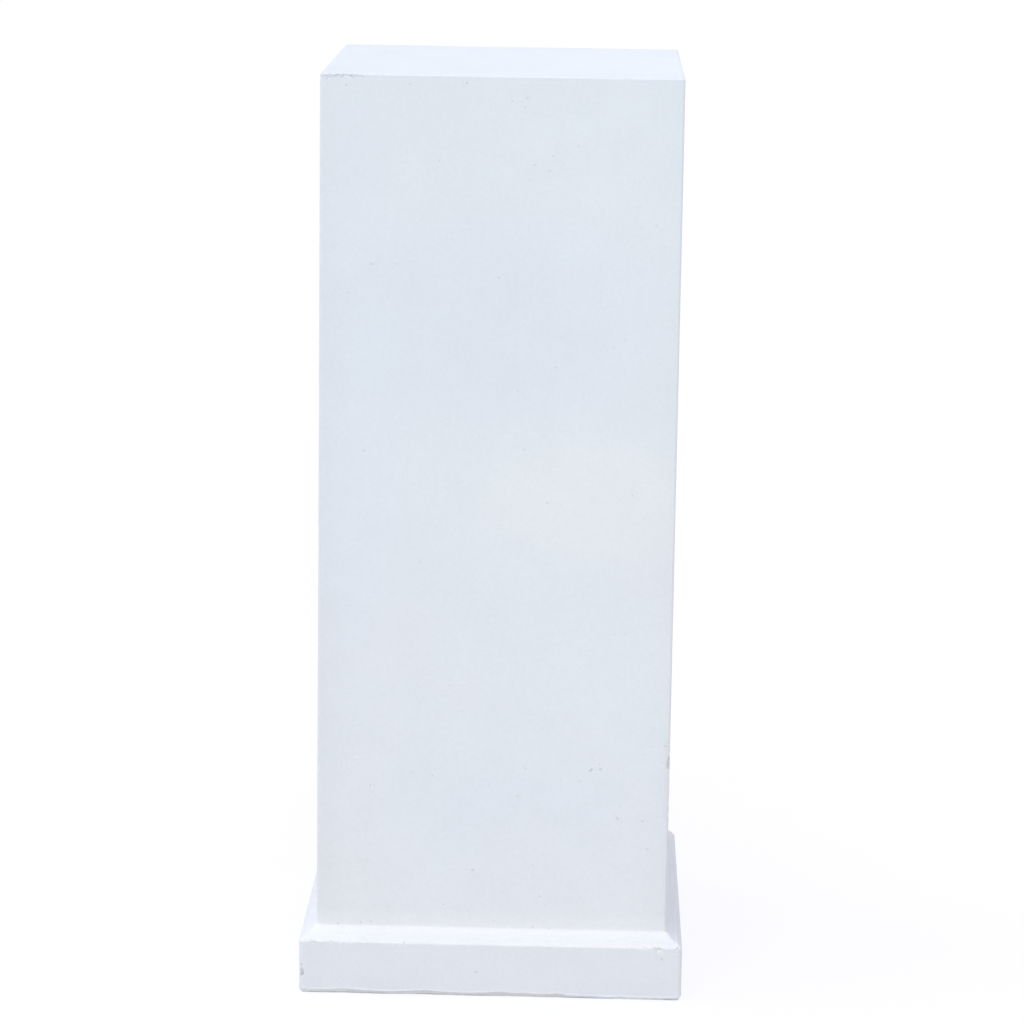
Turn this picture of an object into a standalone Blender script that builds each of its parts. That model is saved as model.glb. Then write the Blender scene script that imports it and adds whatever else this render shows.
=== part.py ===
"""Square display pedestal, cast in one piece and painted white.

A tall plain shaft with a slight mould draft stands on a plinth block. Between the two the section
steps out through a splay, a narrow ledge and a bevel. The knocks and air holes that show on the
arrises are cut into the casting.

Frame: metres, +Z up, origin in the middle of the underside, front face towards -Y.
"""
import math
from collections import namedtuple

import bmesh
import bpy
from mathutils import Euler, Vector

# Driving dimensions
PEDESTAL_HEIGHT = 0.785
SHAFT_TOP_WIDTH = 0.298
SHAFT_FOOT_WIDTH = 0.300
PLINTH_WIDTH = 0.328

# Heights of the section's corners above the underside
FOOT_LIP_HEIGHT = 0.0030
FOOT_LIP_TOP = 0.0042
PLINTH_FACE_TOP = 0.0464
LEDGE_HEIGHT = 0.0503
SPLAY_TOP = 0.0571

# Reach of the section's corners beyond the foot of the shaft
SPLAY_REACH = 0.0082
LEDGE_REACH = 0.0102

# The cast lip round the foot: how far it stands proud and how far its underside draws in
FOOT_LIP_REACH = 0.0004
FOOT_BEVEL_INSET = 0.0016

# Radii that soften the section's corners
FOOT_EASE = 0.0008
PLINTH_EDGE_EASE = 0.0010
LEDGE_EDGE_EASE = 0.0008
LEDGE_HOLLOW = 0.0040
SPLAY_HOLLOW = 0.0025
TOP_EASE = 0.0016

# Radii of the upright arrises, seen in plan
PLINTH_ARRIS = 0.0038
LEDGE_ARRIS = 0.0024
SHAFT_ARRIS = 0.0032
CAP_ARRIS = 0.0014

# Flat margin kept inside the top and the underside, so both end in one flat face
CAP_MARGIN = 0.004

# Fineness of the rounding, and the angle past which an edge is shaded sharp
SECTION_STEPS = 3
ARRIS_STEPS = 4
SPALL_DETAIL = 2
SHARP_ANGLE = math.radians(30)

# Waves that make a knock lumpy, per unit of its own size along x, y and z
LUMP_WAVES = (3.1, 2.7, 4.3)

# Painted cast stone
PAINT_COLOUR = (0.77, 0.80, 0.85, 1.0)
PAINT_ROUGHNESS = 0.72

# Spalls along the front of the foot, as (place across, half length): they leave cusps in its lip
FOOT_SPALLS = ((-0.1270, 0.0160), (-0.0560, 0.0120), (0.0100, 0.0260), (0.0575, 0.0170))

SHAFT_FOOT_HALF = SHAFT_FOOT_WIDTH / 2
SHAFT_TOP_HALF = SHAFT_TOP_WIDTH / 2
PLINTH_HALF = PLINTH_WIDTH / 2

# One corner of the section: its distance from the axis, its height, the radius that eases it,
# and the radius of the upright arris at that level
Corner = namedtuple("Corner", "half_width height ease arris")

# One knock or air hole: its centre, its half sizes, its turn in degrees and how lumpy it is
Spall = namedtuple("Spall", "place half_size turn lumpiness")


def section_corners():
    """The section from the underside's flat up to the top's flat."""
    return (
        Corner(PLINTH_HALF - FOOT_BEVEL_INSET - CAP_MARGIN, 0.0, 0.0, LEDGE_ARRIS),
        Corner(PLINTH_HALF - FOOT_BEVEL_INSET, 0.0, FOOT_EASE, LEDGE_ARRIS),
        Corner(PLINTH_HALF + FOOT_LIP_REACH, FOOT_LIP_HEIGHT, FOOT_EASE, PLINTH_ARRIS),
        Corner(PLINTH_HALF, FOOT_LIP_TOP, FOOT_EASE, PLINTH_ARRIS),
        Corner(PLINTH_HALF, PLINTH_FACE_TOP, PLINTH_EDGE_EASE, PLINTH_ARRIS),
        Corner(SHAFT_FOOT_HALF + LEDGE_REACH, LEDGE_HEIGHT, LEDGE_EDGE_EASE, LEDGE_ARRIS),
        Corner(SHAFT_FOOT_HALF + SPLAY_REACH, LEDGE_HEIGHT, LEDGE_HOLLOW, LEDGE_ARRIS),
        Corner(SHAFT_FOOT_HALF, SPLAY_TOP, SPLAY_HOLLOW, SHAFT_ARRIS),
        Corner(SHAFT_TOP_HALF, PEDESTAL_HEIGHT, TOP_EASE, SHAFT_ARRIS),
        Corner(SHAFT_TOP_HALF - CAP_MARGIN, PEDESTAL_HEIGHT, 0.0, CAP_ARRIS),
    )


def eased(before, corner, after):
    """Points of the arc that eases one corner, as vectors of half width and height."""
    tip = Vector((corner.half_width, corner.height))
    back = (Vector((before.half_width, before.height)) - tip).normalized()
    onward = (Vector((after.half_width, after.height)) - tip).normalized()
    half_angle = back.angle(onward) / 2
    tangent = corner.ease / math.tan(half_angle)
    centre = tip + (back + onward).normalized() * (corner.ease / math.sin(half_angle))
    start = (tip + back * tangent - centre).normalized()
    end = (tip + onward * tangent - centre).normalized()
    shares = [step / SECTION_STEPS for step in range(SECTION_STEPS + 1)]
    return [centre + start.slerp(end, share) * corner.ease for share in shares]


def section():
    """The eased section as (half width, height, arris radius), from the foot up."""
    corners = section_corners()
    levels = []
    for index, corner in enumerate(corners):
        if corner.ease == 0.0:
            levels.append((corner.half_width, corner.height, corner.arris))
            continue
        for point in eased(corners[index - 1], corner, corners[index + 1]):
            levels.append((point.x, point.y, corner.arris))
    return levels


def add_ring(mesh, half_width, height, arris):
    """A square ring with rounded arrises; returns its corners in order."""
    verts = []
    for quarter in range(4):
        diagonal = math.radians(45 + 90 * quarter)
        centre = Vector((math.cos(diagonal), math.sin(diagonal))) * (half_width - arris) * math.sqrt(2)
        for step in range(ARRIS_STEPS + 1):
            angle = math.radians(90 * quarter + 90 * step / ARRIS_STEPS)
            x = centre.x + arris * math.cos(angle)
            y = centre.y + arris * math.sin(angle)
            verts.append(mesh.verts.new((x, y, height)))
    return verts


def cast_body():
    """The whole casting before its knocks: rings skinned up the section and closed at both ends."""
    mesh = bmesh.new()
    rings = [add_ring(mesh, *level) for level in section()]
    for lower, upper in zip(rings, rings[1:]):
        for index in range(len(lower)):
            mesh.faces.new((lower[index - 1], lower[index], upper[index], upper[index - 1]))
    mesh.faces.new(reversed(rings[0]))
    mesh.faces.new(rings[-1])
    return mesh


def spall_list():
    """The knocks and air holes, placed on the arrises that they break."""
    front = -PLINTH_HALF
    right = PLINTH_HALF
    edge = PLINTH_FACE_TOP
    shaft_edge = SHAFT_FOOT_HALF - SHAFT_ARRIS * (1 - math.sqrt(0.5))
    spalls = {
        "front_edge_worn": Spall(
            (0.1345, front, edge + 0.0006), (0.0080, 0.0016, 0.0020), (35, 0, 3), 0.25),
        "front_edge_chip": Spall(
            (0.1447, front, edge - 0.0010), (0.0030, 0.0022, 0.0026), (20, 25, 0), 0.30),
        "front_corner_chip": Spall(
            (0.1608, front + 0.0020, edge - 0.0006), (0.0026, 0.0030, 0.0034), (0, 30, 20), 0.30),
        "left_air_hole": Spall(
            (-right + 0.0018, front + 0.0014, 0.0214), (0.0018, 0.0020, 0.0040), (0, -8, 0), 0.20),
        "shaft_nick": Spall(
            (shaft_edge, -shaft_edge, 0.2118), (0.0014, 0.0014, 0.0065), (0, 3, 0), 0.35),
        "shaft_wear": Spall(
            (shaft_edge + 0.0002, -shaft_edge, 0.1731), (0.0011, 0.0010, 0.0150), (0, 0, 0), 0.30),
        "foot_corner_right": Spall(
            (right, front, 0.0), (0.0032, 0.0036, 0.0036), (0, 0, 45), 0.20),
        "foot_corner_left": Spall(
            (-right, front, 0.0), (0.0034, 0.0038, 0.0044), (0, 0, 45), 0.20),
        "back_edge_chip": Spall(
            (-0.0720, -front, edge + 0.0004), (0.0060, 0.0016, 0.0020), (-35, 0, 0), 0.25),
        "side_foot_spall": Spall(
            (right, 0.0640, 0.0), (0.0024, 0.0260, 0.0038), (0, 28, 0), 0.12),
    }
    for number, (across, half_length) in enumerate(FOOT_SPALLS):
        place = (across, front, 0.0)
        spalls[f"foot_spall_{number}"] = Spall(place, (half_length, 0.0028, 0.0046), (28, 0, 0), 0.12)
    return spalls


def lump(spall):
    """A lumpy cutter for one knock, faceted like broken stone."""
    mesh = bmesh.new()
    bmesh.ops.create_icosphere(mesh, subdivisions=SPALL_DETAIL, radius=1.0)
    millimetres_out = sum(spall.place) * 1000
    turn = Euler([math.radians(angle) for angle in spall.turn]).to_matrix()
    for vert in mesh.verts:
        across, deep, up = (wave * part for wave, part in zip(LUMP_WAVES, vert.co))
        wave = math.sin(across + millimetres_out) * math.cos(deep + up - millimetres_out)
        grown = vert.co * (1 + spall.lumpiness * wave)
        stretched = Vector(size * part for size, part in zip(spall.half_size, grown))
        vert.co = turn @ stretched + Vector(spall.place)
    return mesh


def painted_stone():
    """Matt white paint on cast stone."""
    material = bpy.data.materials.new("painted_cast_stone")
    material.use_nodes = True
    shader = material.node_tree.nodes["Principled BSDF"]
    shader.inputs["Base Color"].default_value = PAINT_COLOUR
    shader.inputs["Roughness"].default_value = PAINT_ROUGHNESS
    shader.inputs["Metallic"].default_value = 0.0
    material.diffuse_color = PAINT_COLOUR
    return material


def add_object(name, mesh):
    """Turn a bmesh into a linked, smooth-shaded object."""
    data = bpy.data.meshes.new(name)
    mesh.to_mesh(data)
    mesh.free()
    data.shade_smooth()
    data.set_sharp_from_angle(angle=SHARP_ANGLE)
    thing = bpy.data.objects.new(name, data)
    bpy.context.scene.collection.objects.link(thing)
    return thing


def cut_spalls(body):
    """Cut every knock into the body with a Boolean of its own."""
    for name, spall in spall_list().items():
        cutter = add_object("cutter_" + name, lump(spall))
        cutter.hide_render = True
        cutter.display_type = "WIRE"
        cut = body.modifiers.new(name, "BOOLEAN")
        cut.operation = "DIFFERENCE"
        cut.solver = "EXACT"
        cut.object = cutter
    flats = body.modifiers.new("even_flats", "WEIGHTED_NORMAL")
    flats.keep_sharp = True


def main():
    for old in list(bpy.data.objects):
        bpy.data.objects.remove(old, do_unlink=True)
    pedestal = add_object("pedestal", cast_body())
    pedestal.data.materials.append(painted_stone())
    cut_spalls(pedestal)


main()
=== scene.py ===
"""Square display pedestal, cast in stone in one piece and painted a cool matt white.

The casting is lofted up its section, its flats and arrises are given the unevenness of a hand-filled
mould, and the knocks, nibbled edges and air holes are cut into it. Metres, +Z up, front towards -Y.
"""
import math
import random
from collections import namedtuple

import bmesh
import bpy
from bpy.props import FloatProperty, FloatVectorProperty, IntProperty, PointerProperty
from mathutils import Matrix, Vector, noise


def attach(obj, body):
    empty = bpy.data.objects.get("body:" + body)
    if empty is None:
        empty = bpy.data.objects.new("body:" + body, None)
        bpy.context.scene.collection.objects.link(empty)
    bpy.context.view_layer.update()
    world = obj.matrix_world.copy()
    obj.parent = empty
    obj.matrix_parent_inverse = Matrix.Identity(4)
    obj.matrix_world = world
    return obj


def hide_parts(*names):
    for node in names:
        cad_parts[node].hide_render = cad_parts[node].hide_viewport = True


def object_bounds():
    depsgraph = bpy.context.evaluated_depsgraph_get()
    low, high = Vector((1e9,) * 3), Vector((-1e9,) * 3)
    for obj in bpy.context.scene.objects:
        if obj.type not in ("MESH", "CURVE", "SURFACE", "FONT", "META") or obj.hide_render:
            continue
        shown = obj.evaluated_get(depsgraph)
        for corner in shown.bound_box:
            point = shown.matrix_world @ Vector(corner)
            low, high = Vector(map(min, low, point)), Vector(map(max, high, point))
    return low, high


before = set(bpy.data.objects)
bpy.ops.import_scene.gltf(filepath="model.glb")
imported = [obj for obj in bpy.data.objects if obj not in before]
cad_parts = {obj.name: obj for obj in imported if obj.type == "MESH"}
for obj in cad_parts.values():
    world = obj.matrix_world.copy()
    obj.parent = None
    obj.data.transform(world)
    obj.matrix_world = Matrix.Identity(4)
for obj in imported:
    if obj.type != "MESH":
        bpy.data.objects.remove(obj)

CAD_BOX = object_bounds()
LIP_HALF = CAD_BOX[1].x
TOP_HEIGHT = CAD_BOX[1].z

MILLIMETRE = 0.001
CASTING = "pedestal_casting"

bl_info = {
    "name": "Square display pedestal",
    "version": (1, 0, 0),
    "blender": (4, 5, 0),
    "location": "View3D > Sidebar > Pedestal",
    "description": "A painted cast stone pedestal with its casting marks, on a pale studio floor",
    "category": "Add Mesh",
}


# Settings

def a_length(name, description, default):
    """A length in metres that a user may change."""
    return FloatProperty(
        name=name, description=description, default=default, unit="LENGTH", subtype="DISTANCE")


def a_share(name, description, default, least=0.0):
    """A share of the whole that a user may change."""
    return FloatProperty(
        name=name, description=description, default=default, subtype="FACTOR", min=least, max=1.0)


def an_amount(name, description, default):
    """A count or a strength that a user may change."""
    return FloatProperty(name=name, description=description, default=default)


def a_colour(name, description, default):
    """A colour that a user may change."""
    return FloatVectorProperty(
        name=name, description=description, default=default, size=3, subtype="COLOR", min=0.0, max=1.0)


class CastingSizes(bpy.types.PropertyGroup):
    """Driving sizes of the casting."""
    height: a_length("Height", "From the ground to the flat top", TOP_HEIGHT)
    shaft_top_width: a_length("Shaft at the top", "Width across the flats just under the top edge", 0.298)
    shaft_foot_width: a_length("Shaft at the foot", "Width across the flats where the splay begins", 0.300)
    lip_reach: a_length(
        "Lip reach", "How far the cast lip at the ground stands proud of the plinth", 0.0003)
    lip_groove: a_length(
        "Groove over the lip", "Deepest hollow just above the lip, where it hangs lowest", 0.0008)
    lip_height: a_length("Lip height", "Height of the cast lip above the ground at its lowest", 0.0024)
    lip_band: a_length("Lip thickness", "From the lip's edge up to the plinth's face", 0.0010)
    plinth_face_top: a_length("Plinth face", "Height of the plinth's sharp front edge", 0.0464)
    ledge_height: a_length("Ledge", "Height of the narrow flat ledge", 0.0503)
    splay_top: a_length("Splay top", "Height where the splay meets the shaft", 0.0571)
    splay_reach: a_length("Splay reach", "How far the splay stands out from the shaft", 0.0082)
    ledge_reach: a_length("Ledge reach", "How far the ledge's edge stands out from the shaft", 0.0102)


class SurfaceRelief(bpy.types.PropertyGroup):
    """How uneven, knocked and pitted the surface is."""
    unevenness: a_length("Unevenness", "Deepest hollow in the flats", 0.00022)
    arris_wear: a_length("Arris wear", "Deepest rubbing of the sharp edges", 0.00045)
    edge_waver: a_length(
        "Edge waver", "How far the plinth's top edge wanders from a straight line", 0.0006)
    nibble_spacing: a_length("Nibble spacing", "Mean distance between small nicks along an edge", 0.055)
    nibble_size: a_length("Nibble size", "Half length of the largest small nick", 0.0016)
    hole_density: an_amount("Air holes", "Air holes to the square metre, where they are thickest", 2600.0)
    hidden_holes: a_share(
        "Holes on hidden sides", "Share of the air holes kept on the sides and the back", 0.35)
    hole_flatness: a_share("Hole flatness", "Depth of an air hole against its radius", 0.42, least=0.1)
    hole_smallest: a_length("Smallest hole", "Radius of the smallest air hole", 0.0004)
    hole_largest: a_length("Largest hole", "Radius of the largest air hole", 0.0009)
    seed: IntProperty(
        name="Seed", description="Picks another scatter of nicks and air holes", default=7)


class PaintColours(bpy.types.PropertyGroup):
    """Colours of the coat and of the stone under it, some of them standing for painted light and shade."""
    coat: a_colour("Paint", "The matt white coat", (0.690, 0.735, 0.768))
    cool_coat: a_colour(
        "Cool coat", "The coat high up and where it is thin and bluish", (0.689, 0.749, 0.776))
    warm_coat: a_colour(
        "Warm coat", "The coat low down and where it is thick and creamy", (0.694, 0.731, 0.751))
    # Painted light and a thicker coat: the whiter colour on the splay, the ledge and the bevel stands
    # partly for the light that falls on them
    thick_coat: a_colour(
        "Thick coat", "The whiter coat that has pooled on the splay and the ledge", (0.765, 0.782, 0.782))
    # Painted shade: the side coat is the thick coat made bluer and darker on the mouldings of the two
    # sides, which lie in shade
    side_coat: a_colour(
        "Side coat", "The bluer thick coat on the mouldings of the two sides", (0.748, 0.770, 0.825))
    handled_coat: a_colour(
        "Handled coat", "The duller coat of the plinth's faces", (0.675, 0.708, 0.740))
    rubbed_coat: a_colour(
        "Rubbed coat", "The coat where hands have rubbed it thin along an arris", (0.664, 0.684, 0.700))
    bare_stone: a_colour("Bare stone", "Fresh white stone in the chips", (0.805, 0.813, 0.808))
    dusty_stone: a_colour(
        "Dusty stone", "Grey stone of the foot's lip and in the hollows of the knocks",
        (0.648, 0.650, 0.646))
    # Painted shade: at the ground the grime colour also stands for the shadow where the foot meets the
    # floor
    grime: a_colour("Grime", "Dust in the air holes and dirt under the foot", (0.25, 0.26, 0.28))


class StudioSettings(bpy.types.PropertyGroup):
    """The pale floor and the soft light."""
    floor_radius: a_length("Floor radius", "Reach of the pale floor round the pedestal", 40.0)
    floor_colour: a_colour("Floor", "Colour of the floor", (0.935, 0.935, 0.970))
    floor_glow: a_share(
        "Floor glow", "Share of the floor that glows by itself, as a light table does", 0.85)
    floor_brightness: an_amount("Floor brightness", "Strength of the floor's glow", 1.05)
    sky_colour: a_colour("Surround", "Colour of the soft light from all round", (0.505, 0.500, 0.562))
    overhead_strength: an_amount("Overhead light", "Strength of the large soft light overhead", 1.20)
    front_strength: an_amount("Front light", "Strength of the large soft light over the camera", 1.13)
    left_strength: an_amount("Left light", "Strength of the large soft light at the upper left", 0.64)


# The shaft and plinth arrises, seen in plan, and the small radii that ease the section's corners
PLINTH_ARRIS = 0.0038
LEDGE_ARRIS = 0.0024
SHAFT_ARRIS = 0.0024
CAP_ARRIS = 0.0014
FOOT_EASE = 0.0004
PLINTH_EDGE_EASE = 0.0009
LEDGE_EDGE_EASE = 0.0008
LEDGE_HOLLOW = 0.0040
SPLAY_HOLLOW = 0.0025
TOP_EASE = 0.0009
CAP_MARGIN = 0.004

# How far a rounded arris lies inside its sharp corner, as a share of its radius, along x and y
ROUNDED_OFF = 1 - math.sqrt(0.5)

# Where the fine mesh of the plinth ends and the shaft's begins
PLINTH_MESH_TOP = 0.0640
SHAFT_MESH_FOOT = 0.0660
PLINTH_ROW_SPACING = 0.0026
SHAFT_ROW_SPACING = 0.0042
EASE_STEPS = 4
ARRIS_STEPS = 7
FINE_COLUMN = 0.0025
GUARD_COLUMNS = (0.0008, 0.0025, 0.0080)
COARSE_COLUMN = 0.022

# Points this near to a height count as at it
LEVEL_TOLERANCE = 1e-5

# The foot's lip hangs in scallops between cusps. Each cusp has its place across the front, its rise,
# and how strongly the lip beads out between it and the next one
FRONT_CUSPS = (
    (-0.1613, 0.0017, 0.40), (-0.1275, 0.0027, 1.00), (-0.0562, 0.0027, 0.15), (0.0086, 0.0025, 0.0),
    (0.0300, 0.0019, 0.0), (0.0575, 0.0020, 0.60), (0.0859, 0.0007, 0.90), (0.1116, 0.0005, 0.90),
    (0.1600, 0.0003, 0.0))
SCALLOP_SAG = 0.026
BEAD_AT_CUSP = 0.75
BEAD_FULLNESS = 1.6
GROOVE_FADE = 0.0110
BEVEL_SLOPE = 0.6

# The same for the hidden sides, drawn at random: rises, rises at the corner, and gaps between cusps
CUSP_RISES = (0.0003, 0.0024)
CORNER_RISES = (0.0003, 0.0010)
CUSP_GAPS = (0.026, 0.070)
FIRST_CUSP = 0.003

# Faces this low that look down are the bare stone under the lip; their grey is partly painted shade under
# the lip
LIP_UNDERSIDE = 0.009
LOOKS_DOWN = -0.1

# Large soft patches of the coat on the front: the middle, the half sizes and the tint of each
COAT_PATCHES = (
    ((0.000, -0.150, 0.580), (0.190, 0.100, 0.115), (0.975, 0.982, 1.000)),
    ((0.075, -0.150, 0.435), (0.170, 0.100, 0.085), (1.026, 1.018, 0.998)),
    ((0.045, -0.150, 0.158), (0.200, 0.100, 0.088), (0.982, 0.988, 0.997)),
    ((-0.120, -0.150, 0.480), (0.060, 0.100, 0.340), (0.996, 1.002, 1.014)))

# Painted skylight: the coat on the flat top lifted and bluer
TOP_SKYLIGHT_TINT = (1.010, 1.003, 1.018)
UNTINTED = (1.0, 1.0, 1.0)

# Places up the right front arris where the shaft is rubbed down to the stone, and how deep
SHAFT_RUBS = (
    (0.1620, 0.0001), (0.1740, 0.0003), (0.1870, 0.0002), (0.1990, 0.0003), (0.2110, 0.0003),
    (0.2220, 0.0001))
RUB_MIDDLE = (0.1498, -0.1498, 0.1925)
RUB_HALF_HEIGHT = 0.0370

# Fineness of the knocks' cutters, and the waves to the metre that make them uneven
LUMP_DETAIL = 5
LUMP_WAVES = 420.0
LUMP_ROUGHNESS = 0.8
LUMP_WAVE_STEP = 2.1
LUMP_OCTAVES = 4

# The small nicks: the step at which one may come, how flat they are, and the smallest as a share of
# the largest. Small lumps are dented this deep, in waves this many to the metre
NIBBLE_STEP = 0.008
NIBBLE_FLATNESS = 0.5
SMALLEST_NIBBLE = 0.3
DENT_DEPTH = 0.0004
DENT_WAVES = 900.0

# Heights between which the hidden arrises are nibbled, and how far short of the top and of the
# corners the nicks stop
PLINTH_NIBBLES = (0.008, 0.044)
SHAFT_NIBBLE_FOOT = 0.070
NIBBLE_TOP_GAP = 0.006
NIBBLE_CORNER_GAP = 0.004

# Least gap between scattered air holes, and from a scattered one to a placed one
HOLE_GAP = 0.0034
PLACED_GAP = 0.004

# Air holes that show on the front, as (across, height, radius)
FRONT_HOLES = (
    (0.0822, 0.1990, 0.0012), (0.0836, 0.2003, 0.0011), (0.0912, 0.2005, 0.0013),
    (0.0902, 0.2049, 0.0009), (0.0971, 0.1998, 0.0006), (0.0744, 0.1896, 0.0009),
    (0.0842, 0.2101, 0.0007), (0.1065, 0.1566, 0.0011), (0.1056, 0.1584, 0.0009),
    (0.1100, 0.1540, 0.0008), (0.1278, 0.1552, 0.0009), (0.1326, 0.1304, 0.0011),
    (0.0405, 0.2356, 0.0009), (0.0275, 0.2000, 0.0009), (-0.0165, 0.1083, 0.0014),
    (-0.0411, 0.0772, 0.0009), (0.0412, 0.0863, 0.0009), (-0.0516, 0.1921, 0.0009),
    (-0.1043, 0.1821, 0.0009), (-0.1316, 0.0582, 0.0010), (-0.1118, 0.0596, 0.0009),
    (-0.1032, 0.0607, 0.0008), (-0.0289, 0.7787, 0.0012), (0.0206, 0.7678, 0.0009),
    (0.0271, 0.7132, 0.0009), (0.0395, 0.7085, 0.0008), (-0.1059, 0.6292, 0.0010),
    (-0.0853, 0.6296, 0.0008), (0.0628, 0.7294, 0.0008), (-0.0116, 0.0216, 0.0014),
    (0.1465, 0.0369, 0.0013), (0.1457, 0.2220, 0.0013), (0.1436, 0.2078, 0.0008),
    (-0.1428, 0.7809, 0.0010), (-0.1236, 0.7832, 0.0011), (-0.1353, 0.7834, 0.0008),
    (-0.0979, 0.0460, 0.0010), (-0.0740, 0.0475, 0.0010))

# Past this angle an edge is shaded sharp
SHARP_ANGLE = math.radians(38)

# The photograph's camera: its place, its turns in radians, and its lens and sensor in millimetres
CAMERA_PLACE = (0.07494, -2.97285, 1.03708)
CAMERA_YAW = 0.0220
CAMERA_PITCH = 0.21426
CAMERA_ROLL = 0.0145
CAMERA_LENS = 121.585
CAMERA_SENSOR = 36.0
CAMERA_RANGE = 200.0

# How wide each soft light spreads
LIGHT_SPREAD = math.radians(60)

# One corner of the section: distance from the axis, height, easing radius, radius of the upright
# arris there, how far the foot's scallops lift it or draw it in, and how deep the groove over the
# bead is there
Corner = namedtuple("Corner", "half_width height ease arris lift draw groove", defaults=(0.0, 0.0, 0.0))

# One knock: its place on the casting, the way out from there, the run of its length, its half sizes
# along, across and outwards, how deep it bites, how lumpy it is and the finish that it lays bare
Knock = namedtuple("Knock", "place way along half_size depth lumpiness finish", defaults=("bare",))


# Helpers for node trees

GEOMETRY = "NodeSocketGeometry"
OBJECT = "NodeSocketObject"
MATERIAL = "NodeSocketMaterial"
VECTOR = "NodeSocketVector"
NUMBERS = {float: "NodeSocketFloat", int: "NodeSocketInt"}


def is_vector(side):
    """Whether a side of a reckoning is a vector or a colour, and not a number."""
    if isinstance(side, Value):
        return side.socket.type in {"VECTOR", "RGBA"}
    return isinstance(side, tuple)


def reckoned(operation, first, second=None):
    """The outcome of one Math node, or of a Vector Math node where the first side is a vector."""
    tree = (first if isinstance(first, Value) else second).tree
    if is_vector(first) and operation == "MULTIPLY" and not is_vector(second):
        return tree.value("ShaderNodeVectorMath", {0: first, "Scale": second}, operation="SCALE")
    kind = "ShaderNodeVectorMath" if is_vector(first) else "ShaderNodeMath"
    sides = {0: first} if second is None else {0: first, 1: second}
    return tree.value(kind, sides, operation=operation)


def by_node(operation, turned=False):
    """A method that reckons with a value and another side; turned, the other side comes first."""
    if turned:
        return lambda value, other: reckoned(operation, other, value)
    return lambda value, other=None: reckoned(operation, value, other)


class Value:
    """One output of a node. Each step of reckoning with it adds a node to its tree."""

    def __init__(self, tree, socket):
        self.tree = tree
        self.socket = socket

    __add__, __sub__, __mul__, __truediv__ = map(by_node, ("ADD", "SUBTRACT", "MULTIPLY", "DIVIDE"))
    __rsub__, __rtruediv__ = by_node("SUBTRACT", turned=True), by_node("DIVIDE", turned=True)
    __mod__, __pow__, __lt__, __gt__ = map(by_node, ("MODULO", "POWER", "LESS_THAN", "GREATER_THAN"))
    __abs__, floor, larger, smaller = map(by_node, ("ABSOLUTE", "FLOOR", "MAXIMUM", "MINIMUM"))

    def ramp(self, low, high, to_low=0.0, to_high=1.0, smooth=False):
        """Its stretch from low to high, brought to another range and clamped."""
        return self.tree.value("ShaderNodeMapRange", {
            "Value": self, "From Min": low, "From Max": high, "To Min": to_low, "To Max": to_high},
            interpolation_type="SMOOTHSTEP" if smooth else "LINEAR")

    def blend(self, first, second):
        """A mix of two colours by this mask."""
        return self.tree.value(
            "ShaderNodeMix", {"Factor": self, 6: first, 7: second}, 2, data_type="RGBA")

    def split(self):
        """The x, y and z of a vector."""
        node = self.tree.node("ShaderNodeSeparateXYZ", {0: self})
        return [Value(self.tree, part) for part in node.outputs]


class Tree:
    """A node tree in the making."""

    def __init__(self, made):
        self.made = made

    def feed(self, socket, source):
        """Link a value or a list of values to a socket, or set a plain one on it."""
        if isinstance(source, list):
            for value in source:
                self.made.links.new(value.socket, socket)
        elif isinstance(source, Value):
            self.made.links.new(source.socket, socket)
        else:
            socket.default_value = (*source, 1.0) if socket.type == "RGBA" else source

    def node(self, kind, inputs=None, **settings):
        """Add a node, set its properties and feed its inputs."""
        node = self.made.nodes.new(kind)
        for name, setting in settings.items():
            setattr(node, name, setting)
        for key, source in (inputs or {}).items():
            self.feed(node.inputs[key], source)
        return node

    def value(self, kind, inputs=None, output=0, **settings):
        """Add a node and take one of its outputs."""
        return Value(self, self.node(kind, inputs, **settings).outputs[output])

    def noise(self, place, scale, detail, roughness=0.5, output="Fac"):
        """Fractal noise over a place."""
        return self.value("ShaderNodeTexNoise", {
            "Vector": place, "Scale": scale, "Detail": detail, "Roughness": roughness}, output)

    def field(self, name):
        """The position, normal or index of each point."""
        return self.value("GeometryNodeInput" + name)

    def stored(self, name, data_type="FLOAT"):
        """What a geometry has stored under a name."""
        return self.value(
            "GeometryNodeInputNamedAttribute", {"Name": name}, "Attribute", data_type=data_type)

    def sampled(self, geometry, value, index):
        """A value read at one point of another geometry."""
        return self.value("GeometryNodeSampleIndex", {
            "Geometry": geometry, "Value": value, "Index": index}, "Value",
            data_type="FLOAT_VECTOR" if is_vector(value) else "FLOAT", domain="POINT", clamp=True)

    def geometry_of(self, thing):
        """The geometry of an object that the tree was given."""
        return self.value("GeometryNodeObjectInfo", {"Object": thing}, "Geometry")

    def placed(self, group, inputs=None):
        """Place a shader group with its named inputs set; returns its outputs by name."""
        node = self.node("ShaderNodeGroup", inputs, node_tree=group)
        return {socket.name: Value(self, socket) for socket in node.outputs}

    def __getitem__(self, name):
        """What the tree was given under a name."""
        return Value(self, self.given.outputs[name])

    def give(self, outputs):
        """End a group with its named outputs, and return it."""
        for name, value in outputs.items():
            kind = GEOMETRY if value.socket.type == "GEOMETRY" else NUMBERS[float]
            self.made.interface.new_socket(name, in_out="OUTPUT", socket_type=kind)
        self.node("NodeGroupOutput", outputs)
        return self.made


def new_tree(name, inputs, kind="GeometryNodeTree"):
    """A node group in the making. Each input is named with its default number or its socket's kind."""
    tree = Tree(bpy.data.node_groups.new(name, kind))
    for label, default in inputs.items():
        is_number = type(default) in NUMBERS
        socket = tree.made.interface.new_socket(
            label, in_out="INPUT", socket_type=NUMBERS[type(default)] if is_number else default)
        if is_number:
            socket.default_value = default
    tree.given = tree.node("NodeGroupInput")
    return tree


# Helpers for meshes and objects

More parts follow.
